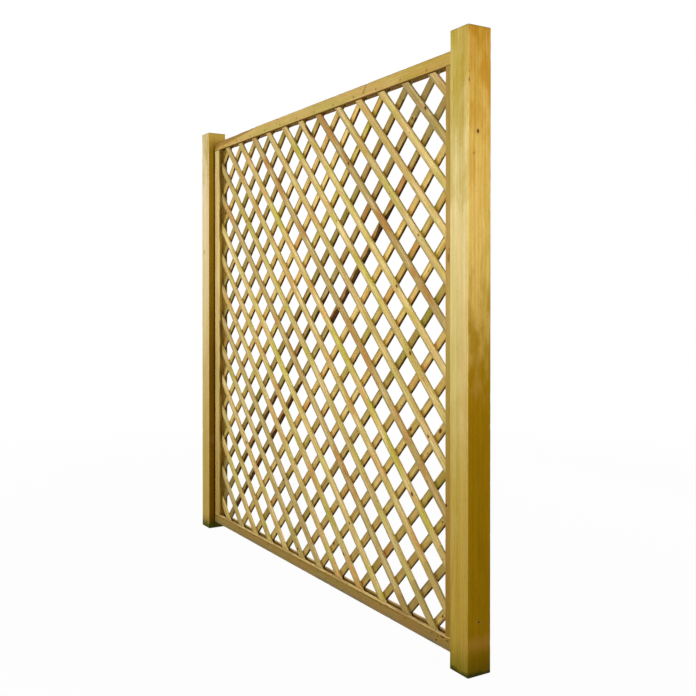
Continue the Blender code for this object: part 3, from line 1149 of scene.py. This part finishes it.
def buildStile(side):
    look = dict(stileLook[side])
    node = "stile_" + side
    centre, size = boxOf(node)
    outward = 1 if side == "right" else -1
    grow, overcut = screwLook["clearance"], stileLook["overcut"]
    shoulder = (railCentre.z - railSize.z / 2) - (sillCentre.z + sillSize.z / 2) - 2 * grow
    knots = [((z - centre.z, -size.y / 2, centre.x - x), *form) for z, x, *form in look.pop("knots")]
    material = timberMaterial(side + "StileTimber", (shoulder / 2, size.y / 2, size.x / 2),
                              frameLook["arris"], **stileLook["timber"], **look, placedKnots=knots,
                              **frameLook["stileGroove"])
    groove = grooveFor(size, outward)
    grooveY, width, depth = groove[:3]
    outline = boardOutline(size.y / 2, size.x / 2, frameLook["arris"], groove)
    mesh = sweepBoard(node + "_timber", outline, shoulder, boardWear, look["seed"])
    blank = looseObject(node + "_blank", mesh, axes((0, 0, 1), centre))
    tongue = looseObject("tenons", boxMesh("tenons", (size.x, width - 2 * grow, size.z)),
                         Matrix.Translation((centre.x, centre.y + grooveY, centre.z)))
    channelX = centre.x - outward * (size.x / 2 - depth / 2 + overcut / 2)
    channel = looseObject("channel", boxMesh("channel", (depth + overcut, width, size.z + 2 * overcut)),
                          Matrix.Translation((channelX, centre.y + grooveY, centre.z)))
    applyCuts(blank, [("UNION", tongue), ("DIFFERENCE", channel)] + boreCutters(side))
    mesh = blank.data
    bpy.data.objects.remove(blank, do_unlink=True)
    markGroove(mesh, groove, size.x / 2)
    stile = standPiece(node + "_timber", mesh, axes((0, 0, 1), centre), material, bodyName, "frame_timber")
    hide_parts(node)


for side in ("left", "right"):
    buildStile(side)
print("stiles made")


# Lattice: thin sawn slats. Each has its own seed and tone, and lies a little off the true line.

slatLook = {
    "arris": 0.0010,
    "arrisSteps": 3,
    "wear": {"least": 0.00004, "dip": 0.00008, "nibble": 0.0009},
    "spacing": 0.012,
    "shift": 0.0011,
    "tilt": 0.0010,
    "crook": 0.0012,
    "spare": 0.02,                        # a slat is made this much longer, and then trimmed
    "shadeHeights": (0.25, 1.45),
    "barkFade": 0.05,
    "patches": (0.0, 1.5),                # the range of greenness and of warmth
    # Each slat has a knot, a pin knot and a streak of its own; marked slats have theirs placed.
    "marks": {"boardKnot": (0.0015, 0.0050), "boardPin": (0.0008, 0.0026),
              "boardStreak": (0.0004, 0.0016)},
    "markOff": 0.010,
    # Slats that the photograph shows plainly, by number. Tones are brightness, greenness and warmth, wanes
    # are width, from height and to height, and marks are height, distance across and radius.
    "front": {
        "slot": "front_slat_timber", "bright": (0.86, 1.28), "lowShade": 0.93,
        "tones": {20: (1.14, 0.9, 0.7), 19: (0.88, 0.1, 2.6), 18: (1.24, 0.9, 0.3), 17: (1.20, 1.4, 0.5),
                  16: (1.14, 0.4, 1.4), 15: (0.94, 0.3, 2.0), 11: (0.96, 0.3, 2.0)},
        "wanes": {},
        "boardKnot": {20: (1.287, 0.004, 0.0034), 19: (1.569, 0.006, 0.0050), 17: (0.908, 0.008, 0.0056),
                      16: (0.660, -0.002, 0.0042), 14: (0.462, 0.000, 0.0056), 9: (0.168, -0.009, 0.0050)},
        "boardPin": {17: (1.370, 0.006, 0.0030)},
        "boardStreak": {18: (1.730, 0.0115, 0.0040)},
    },
    "rear": {
        "slot": "rear_slat_timber", "bright": (0.80, 1.38), "lowShade": 0.70,
        "tones": {13: (0.86, 0.5, 1.6), 12: (0.78, 0.6, 1.4), 11: (0.82, 1.2, 0.4)},
        "wanes": {13: [(0.013, 0.10, 0.78), (0.015, 0.98, 1.42)],
                  12: [(0.009, 0.28, 0.72), (0.008, 0.86, 1.12)],
                  11: [(0.007, 0.40, 0.52), (0.007, 0.98, 1.14)]},
        "boardKnot": {20: (0.679, 0.003, 0.0066), 19: (0.664, 0.004, 0.0060)},
        "boardPin": {19: (0.177, 0.006, 0.0060)},
        "boardStreak": {},
    },
}

slatHalf = (1.0, 0.004, 0.01425)
frontSlatTimber = timberMaterial(
    "frontSlatTimber", slatHalf, slatLook["arris"], perBoard=True,
    early=(0.830, 0.680, 0.330), late=(0.470, 0.315, 0.095), pith=(0, 0.030, 0.018), ringSpacing=0.0034,
    wander=0.040, ringShare=0.50, broadShare=0.75, fibreShare=0.36,
    greenShare=0.72, green=(0.520, 0.475, 0.085), warmShare=0.62, warm=(0.640, 0.350, 0.110),
    streakShare=0.45, patchLength=0.15, knotCell=0.11, knotRadius=0.004, knotShare=0.25,
    # highTint brightens the front slats' upper-right edges: painted light.
    edge=(0.860, 0.690, 0.360), edgeShare=0.10, highTint=(1.450, 1.460, 1.300),
    blotch=(0.700, 0.640, 0.460), blotchShare=0.60, fleckShare=0.15,
    bands=[("High Gap", 0.0050, (0.380, 0.270, 0.110), 0.25),
           ("Low Gap", 0.0120, (0.300, 0.260, 0.120), 0.95)])
rearSlatTimber = timberMaterial(
    "rearSlatTimber", slatHalf, slatLook["arris"], perBoard=True,
    early=(0.850, 0.670, 0.260), late=(0.430, 0.270, 0.055), pith=(0, 0.030, 0.018), ringSpacing=0.0034,
    wander=0.040, ringShare=0.55, broadShare=0.75, fibreShare=0.38,
    greenShare=0.84, green=(0.380, 0.335, 0.048), warmShare=0.78, warm=(0.620, 0.315, 0.090),
    streakShare=0.50, patchLength=0.14, knotCell=0.11, knotRadius=0.0045, knotShare=0.35,
    # Painted shadow of the front slats on each rear slat beside the crossings.
    seam=(slatPitch / math.sqrt(2), slatHalf[2], 0.018, (0.66, 0.58, 0.33)),
    # lowTint darkens the rear slats' lower-right edges: painted shade.
    edge=(0.680, 0.520, 0.190), edgeShare=0.06, lowTint=(0.420, 0.290, 0.035),
    blotch=(0.660, 0.600, 0.400), blotchShare=0.65, fleckShare=0.20,
    # The dark Low Gap band along those edges is painted shade too.
    bands=[("Low Gap", 0.0062, (0.150, 0.075, 0.006), 1.00),
           ("High Gap", 0.0110, (0.270, 0.200, 0.080), 0.90)])


def trimBoard(mesh, matrix, low, high):
    # Cuts a board square to the grooves' floors, as the planes of a box in the panel's frame.
    form = bmesh.new()
    form.from_mesh(mesh)
    inverse = matrix.inverted()
    for corner, sign in ((low, -1), (high, 1)):
        for normal in (Vector((sign, 0, 0)), Vector((0, 0, sign))):
            everything = form.verts[:] + form.edges[:] + form.faces[:]
            made = bmesh.ops.bisect_plane(form, geom=everything, plane_co=inverse @ corner,
                                          plane_no=inverse.to_3x3() @ normal, clear_outer=True)
            rim = [item for item in made["geom_cut"] if isinstance(item, bmesh.types.BMEdge)]
            if rim:
                bmesh.ops.holes_fill(form, edges=rim, sides=0)
    form.to_mesh(mesh)
    form.free()


def giveBoard(mesh, seed, triples, tone, wane, crossing):
    # Gives every point of a board the values that its material reads.
    count = len(mesh.vertices)
    for label, value in triples.items():
        markMesh(mesh, label, "FLOAT_VECTOR", list(value) * count)
    places = [vertex.co.x for vertex in mesh.vertices]
    markMesh(mesh, "boardTone", "FLOAT_VECTOR", [part for x in places for part in tone(x)])
    markMesh(mesh, "boardWane", "FLOAT", [wane(x) for x in places])
    for label, value in (("boardSeed", seed), ("boardCross", crossing)):
        markMesh(mesh, label, "FLOAT", [value] * count)


def buildSlat(run, layer, material, low, high):
    look = slatLook[layer]
    number = int(run["node"][-2:])
    centreY = sum(corner.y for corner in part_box(run["node"])) / 2
    seed = dice.uniform(0, 60)
    across = run["across"] + slatLook["shift"] * dice.uniform(-1, 1)
    tilt = slatLook["tilt"] * dice.uniform(-1, 1)
    crook = slatLook["crook"] * dice.uniform(-1, 1)
    drawn = [dice.uniform(*limits) for limits in (look["bright"], slatLook["patches"], slatLook["patches"])]
    bright, greenness, warmth = look["tones"].get(number, drawn)
    triples = {}
    length = run["end"] - run["start"] + slatLook["spare"]
    middle = run["alongAxis"] * (run["start"] + run["end"]) / 2 + run["acrossAxis"] * across
    matrix = axes(run["alongAxis"], (middle.x, centreY, middle.z)) @ Matrix.Rotation(tilt, 4, "Y")

    def placeAt(height):
        return (height - middle.z) / run["alongAxis"].z

    farOff = slatLook["markOff"]
    for label, radii in slatLook["marks"].items():
        mark = (dice.uniform(-0.5, 0.5) * length, dice.uniform(-farOff, farOff), dice.uniform(*radii))
        if number in look[label]:
            height, off, radius = look[label][number]
            mark = (placeAt(height), off, radius)
        triples[label] = mark
    stretches = [(width, *sorted((placeAt(start), placeAt(end))))
                 for width, start, end in look["wanes"].get(number, [])]

    def shape(x, y, z):
        return y, z + crook * math.cos(math.pi * x / length)

    def tone(x):
        # Painted shade: every slat is darker near the foot of the panel, the rear ones most.
        height = middle.z + x * run["alongAxis"].z
        dark, full = slatLook["shadeHeights"]
        share = max(0.0, min(1.0, (height - dark) / (full - dark)))
        return bright * (look["lowShade"] + (1 - look["lowShade"]) * share), greenness, warmth

    def wane(x):
        fade = slatLook["barkFade"]
        return sum(width * max(0.0, min(1.0, (x - start) / fade, (end - x) / fade))
                   for width, start, end in stretches)

    outline = boardOutline(slatHalf[1], run["width"] / 2, slatLook["arris"], steps=slatLook["arrisSteps"])
    name = run["node"] + "_timber"
    mesh = sweepBoard(name, outline, length, slatLook["wear"], seed, shape, slatLook["spacing"])
    trimBoard(mesh, matrix, low, high)
    # Where a front slat lies along a rear one.
    crossing = frontRuns[0]["across"] - (run["start"] + run["end"]) / 2
    giveBoard(mesh, seed, triples, tone, wane, crossing)
    slat = standPiece(name, mesh, matrix, material, bodyName, look["slot"])
    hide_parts(run["node"])


def latticeBox():
    corners = [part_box(run["node"]) for run in frontRuns + rearRuns]
    low = Vector(min(pair[0][axis] for pair in corners) for axis in range(3))
    high = Vector(max(pair[1][axis] for pair in corners) for axis in range(3))
    return low, high


dice = random.Random(41)
lattice = latticeBox()
for layer, runs, timber in (("front", frontRuns, frontSlatTimber), ("rear", rearRuns, rearSlatTimber)):
    for run in runs:
        buildSlat(run, layer, timber, *lattice)
print("lattice made:", len(frontRuns) + len(rearRuns), "slats")


# Fastenings: wire nails through the rails' front lips, staples on the lattice's back, screws to the posts.

metalLook = {
    "smoothAngle": 30,
    "bloom": (420.0, 3.0),                # closeness and detail of the dull patches
    "dents": (2600.0, 2.0),
    "dulling": 0.25,
    "bump": 0.3,
    "bumpDepth": 0.0002,
}


def metalMaterial(name, bright, dark, roughness, metallic):
    material, bench, shader, _ = newMaterial(name)
    position = bench.put("ShaderNodeTexCoord").outputs["Object"]
    bloom = bench.ramp(bench.cloud(position, *metalLook["bloom"]), 0.35, 0.70)
    bench.feed(shader.inputs["Base Color"], bench.tint(bloom, (*bright, 1), (*dark, 1)))
    dull = bench.ramp(bloom, 0.0, 1.0, roughness, roughness + metalLook["dulling"])
    bench.feed(shader.inputs["Roughness"], dull)
    shader.inputs["Metallic"].default_value = metallic
    dents = bench.cloud(position, *metalLook["dents"])
    feedBump(bench, shader, dents, metalLook["bump"], metalLook["bumpDepth"])
    return material


def standMetal(name, mesh, material, matrix=None):
    place = matrix or Matrix.Identity(4)
    return standPiece(name, mesh, place, material, bodyName, "zinc_plated_steel", metalLook["smoothAngle"])


nailSteel = metalMaterial("nailSteel", (0.105, 0.070, 0.035), (0.065, 0.032, 0.012), 0.60, 0.25)
stapleWire = metalMaterial("stapleWire", (0.52, 0.50, 0.45), (0.34, 0.31, 0.26), 0.35, 1.0)
zincPlate = metalMaterial("zincPlate", (0.56, 0.54, 0.48), (0.40, 0.38, 0.32), 0.30, 1.0)

nailLook = {
    "head": [(0, 0.00005), (0.0013, 0.00010), (0.0018, 0.00008), (0.0020, -0.00015), (0.0020, -0.00050),
             (0.0011, -0.0012), (0.0010, -0.0015), (0.0010, -0.0280), (0, -0.0310)],
    "sides": 14,
    "stray": 0.0015,
    "sunk": 0.0001,
}


def joinMeshes(name, meshes):
    # Each entry is (mesh, matrix). The copies become one mesh.
    verts, faces = [], []
    for mesh, matrix in meshes:
        start = len(verts)
        verts += [matrix @ vertex.co for vertex in mesh.vertices]
        faces += [tuple(start + index for index in polygon.vertices) for polygon in mesh.polygons]
    return newMesh(name, verts, faces)


def buildNails(name, runs, height, rail, shape=None):
    nail = turnedMesh("nail", nailLook["head"], nailLook["sides"])
    centre, size = rail
    stray = nailLook["stray"]
    places = []
    for run in runs:
        x = frontSlatX(run, height) + dice.uniform(-stray, stray)
        z = height + dice.uniform(-stray, stray)
        faceY = -size.y / 2
        if shape:
            faceY, _ = shape(size)(x - centre.x, faceY, z - centre.z)
        place = Matrix.Translation((x, centre.y + faceY + nailLook["sunk"], z))
        places.append((nail, place @ Matrix.Rotation(math.pi / 2, 4, "X")))
    standMetal(name, joinMeshes(name, places), nailSteel)


buildNails("top_rail_nails", frontRuns[firstTopSlat:], topNailZ, (railCentre, railSize), barkEdge)
buildNails("bottom_rail_nails", frontRuns[:firstTopSlat], bottomNailZ, (sillCentre, sillSize))

stapleLook = {
    "crown": 0.0105,
    "leg": 0.012,
    "wide": 0.0012,
    "thick": 0.0006,
    "bend": 0.0008,
    "bendSteps": 3,
    "proud": 0.0004,
    "turn": 0.5,                          # how far a staple may be turned off level, radians
    "stray": 0.003,
    "inset": 0.010,                       # crossings this close to the frame have no staple
}


def stapleMesh(look):
    # A flat wire swept along leg, crown and leg. +Z is out of the wood.
    half, bend, steps = look["crown"] / 2, look["bend"], look["bendSteps"]
    path = [(-half, -look["leg"])]
    for side in (-1, 1):
        for step in range(steps + 1):
            angle = math.pi / 2 * (step / steps if side < 0 else 1 - step / steps)
            path.append((side * (half - bend + bend * math.cos(angle)), bend * (math.sin(angle) - 1)))
    path.append((half, -look["leg"]))
    verts, faces = [], []
    for index, (x, z) in enumerate(path):
        before, after = path[max(index - 1, 0)], path[min(index + 1, len(path) - 1)]
        run = Vector((after[0] - before[0], after[1] - before[1])).normalized()
        outX, outZ = -run.y * look["thick"] / 2, run.x * look["thick"] / 2
        for sign, wide in ((1, -1), (1, 1), (-1, 1), (-1, -1)):
            verts.append((x + sign * outX, wide * look["wide"] / 2, z + sign * outZ))
    for index in range(len(path) - 1):
        for side in range(4):
            after = (side + 1) % 4
            faces.append((4 * index + side, 4 * index + 4 + side, 4 * index + 4 + after, 4 * index + after))
    last = 4 * (len(path) - 1)
    faces += [(0, 1, 2, 3), (last + 3, last + 2, last + 1, last)]
    return newMesh("staple", verts, faces)


def buildStaples(look):
    staple = stapleMesh(look)
    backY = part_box(rearRuns[0]["node"])[1].y
    left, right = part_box("stile_left")[1].x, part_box("stile_right")[0].x
    low, high = sillCentre.z + sillSize.z / 2, railCentre.z - railSize.z / 2
    inset, stray = look["inset"], look["stray"]
    places = []
    for front in frontRuns:
        for rear in rearRuns:
            crossing = front["acrossAxis"] * front["across"] + rear["acrossAxis"] * rear["across"]
            if not (left + inset < crossing.x < right - inset and low + inset < crossing.z < high - inset):
                continue
            x = crossing.x + dice.uniform(-stray, stray)
            z = crossing.z + dice.uniform(-stray, stray)
            turn = Matrix.Rotation(dice.uniform(-look["turn"], look["turn"]), 4, "Y")
            place = Matrix.Translation((x, backY + look["proud"], z))
            places.append((staple, place @ turn @ Matrix.Rotation(-math.pi / 2, 4, "X")))
    standMetal("lattice_staples", joinMeshes("lattice_staples", places), stapleWire)
    return len(places)


stapleCount = buildStaples(stapleLook)


def screwProfile(length):
    look = screwLook
    flat, start = look["rimRound"]
    return [(0, 0), (look["headRadius"] * flat, 0), (look["headRadius"], -look["rim"] * start),
            (look["headRadius"], -look["rim"]), (look["radius"], -look["headDepth"]),
            (look["radius"], -look["threadFrom"] + look["threadRunout"]), (look["core"], -look["threadFrom"]),
            (look["core"], look["tip"] - length), (0, -length)]


def threadMesh(length):
    # A ridge wound about the core, running out at the tip.
    look = screwLook
    steps, root = look["threadSteps"], look["threadRoot"]
    count = int((length - look["threadFrom"]) / look["threadPitch"] * steps)
    verts, faces = [], []
    for index in range(count + 1):
        share = index / count
        z = -look["threadFrom"] - share * (length - look["threadFrom"] - look["threadRunout"])
        point = (length + z) / look["tip"]
        taper = max(min(1.0, point, share * count / steps), look["threadLeast"])
        core = look["core"] * min(1.0, point) * root
        crest = core + (look["radius"] - look["core"] * root) * taper
        angle = 2 * math.pi * index / steps
        for radius, rise in ((core, look["threadHalf"]), (crest, 0.0), (core, -look["threadHalf"])):
            verts.append((radius * math.cos(angle), radius * math.sin(angle), z + rise))
    for index in range(count):
        for side in range(3):
            after = (side + 1) % 3
            faces.append((3 * index + side, 3 * index + after, 3 * index + 3 + after, 3 * index + 3 + side))
    faces += [(2, 1, 0), (3 * count, 3 * count + 1, 3 * count + 2)]
    return newMesh("thread", verts, faces)


def buildScrew(side, level):
    node = "post_screw_" + side + "_" + level
    matrix, length = screwFrame(side, level)
    blank = looseObject(node + "_blank", turnedMesh("screw", screwProfile(length), screwLook["sides"]))
    long, wide, deep = screwLook["recess"]
    turn = Matrix.Rotation(screwLook["recessTurn"], 4, "Z")
    arms = [looseObject("recess", boxMesh("recess", size), turn)
            for size in ((long, wide, 2 * deep), (wide, long, 2 * deep))]
    applyCuts(blank, [("DIFFERENCE", arm) for arm in arms])
    here = Matrix.Identity(4)
    mesh = joinMeshes(node + "_zinc", [(blank.data, here), (threadMesh(length), here)])
    bpy.data.objects.remove(blank, do_unlink=True)
    screw = standMetal(node + "_zinc", mesh, zincPlate, matrix)
    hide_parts(node)


for side in ("left", "right"):
    for level in screwLook["levels"]:
        buildScrew(side, level)
print("fastenings made:", len(frontRuns), "nails,", stapleCount, "staples, 6 screws")


# The studio: a plain white floor that keeps the panel's shadow, a white surround and soft lamps.

studioLook = {
    "floorRadius": 14.0,
    "floorSides": 96,
    "floorDrop": 0.0005,                  # the floor lies this far below the posts' feet
    "floorColour": (0.56, 0.55, 0.53),
    "cameraWhite": 0.97,                  # how far the camera sees the floor as plain white near the panel
    "whiteFrom": (1.5, 5.0),              # from here to here it turns wholly white
    "fill": 0.24,
    "fillColour": (1.0, 0.985, 0.94),
    "lamps": {
        # name: place, aim, size, power, colour
        "frontLamp": ((-0.30, -2.10, 1.20), (-0.591, -1.144, 1.20), (4.81, 1.60), 56.0, (1.0, 0.99, 0.96)),
        "leftLamp": ((-3.10, -1.60, 1.40), (0.0, 0.0, 1.05), (0.40, 0.40), 21.5, (1.0, 0.98, 0.93)),
        "backLamp": ((0.0, 2.60, 1.30), (0.0, 0.0, 1.10), (3.40, 1.80), 58.0, (1.0, 0.99, 0.96)),
        "sideLamp": ((2.30, 0.0, 1.45), (1.0, 0.0, 1.40), (0.25, 0.40), 12.5, (1.0, 0.97, 0.90)),
    },
}


def seenWhite(bench):
    # The camera and mirrored rays see white; the light on the panel doesn't come from it.
    path = bench.put("ShaderNodeLightPath").outputs
    mirrored = bench.maths("MAXIMUM", path["Is Glossy Ray"], path["Is Transmission Ray"])
    return bench.maths("MAXIMUM", path["Is Camera Ray"], mirrored)


def feedMix(bench, share, first, second, surface):
    mix = bench.wired("ShaderNodeMixShader", (share, first.outputs[0], second.outputs[0]))
    bench.feed(surface.inputs["Surface"], mix[0])


def buildFloor(look):
    sides = look["floorSides"]
    angles = [2 * math.pi * side / sides for side in range(sides)]
    radius, drop = look["floorRadius"], look["floorDrop"]
    verts = [(radius * math.cos(angle), radius * math.sin(angle), -drop) for angle in angles]
    mesh = newMesh("floor", verts, [tuple(range(sides))])
    floor = looseObject("floor", mesh)
    material, bench, plastic, surface = newMaterial("floorWhite")
    material.node_tree.nodes.remove(plastic)
    matt = bench.put("ShaderNodeBsdfDiffuse")
    matt.inputs["Color"].default_value = (*look["floorColour"], 1)
    away = bench.vectors("LENGTH", bench.put("ShaderNodeNewGeometry").outputs["Position"])
    far = bench.ramp(away, *look["whiteFrom"], look["cameraWhite"], 1.0)
    white = bench.put("ShaderNodeEmission")
    feedMix(bench, bench.times(seenWhite(bench), far), matt, white, surface)
    mesh.materials.append(material)


def buildWorld(look):
    world = bpy.data.worlds.new("studioWhite")
    bpy.context.scene.world = world
    world.use_nodes = True
    bench = NodeBench(world.node_tree)
    fill = world.node_tree.nodes["Background"]
    fill.inputs["Color"].default_value = (*look["fillColour"], 1)
    fill.inputs["Strength"].default_value = look["fill"]
    white = bench.put("ShaderNodeBackground")
    white.inputs["Color"].default_value = (1, 1, 1, 1)
    feedMix(bench, seenWhite(bench), fill, white, world.node_tree.nodes["World Output"])


def buildLamps(look):
    for name, (place, aim, size, power, colour) in look["lamps"].items():
        data = bpy.data.lights.new(name, "AREA")
        data.shape = "RECTANGLE"
        data.size, data.size_y = size
        data.energy = power
        data.color = colour
        lamp = looseObject(name, data)
        lamp.visible_camera = False
        lamp.location = place
        lamp.rotation_euler = (Vector(aim) - Vector(place)).to_track_quat("-Z", "Y").to_euler()


buildFloor(studioLook)
buildWorld(studioLook)
buildLamps(studioLook)
bpy.context.scene.view_settings.view_transform = "Standard"
print("studio made")

bpy.context.view_layer.update()
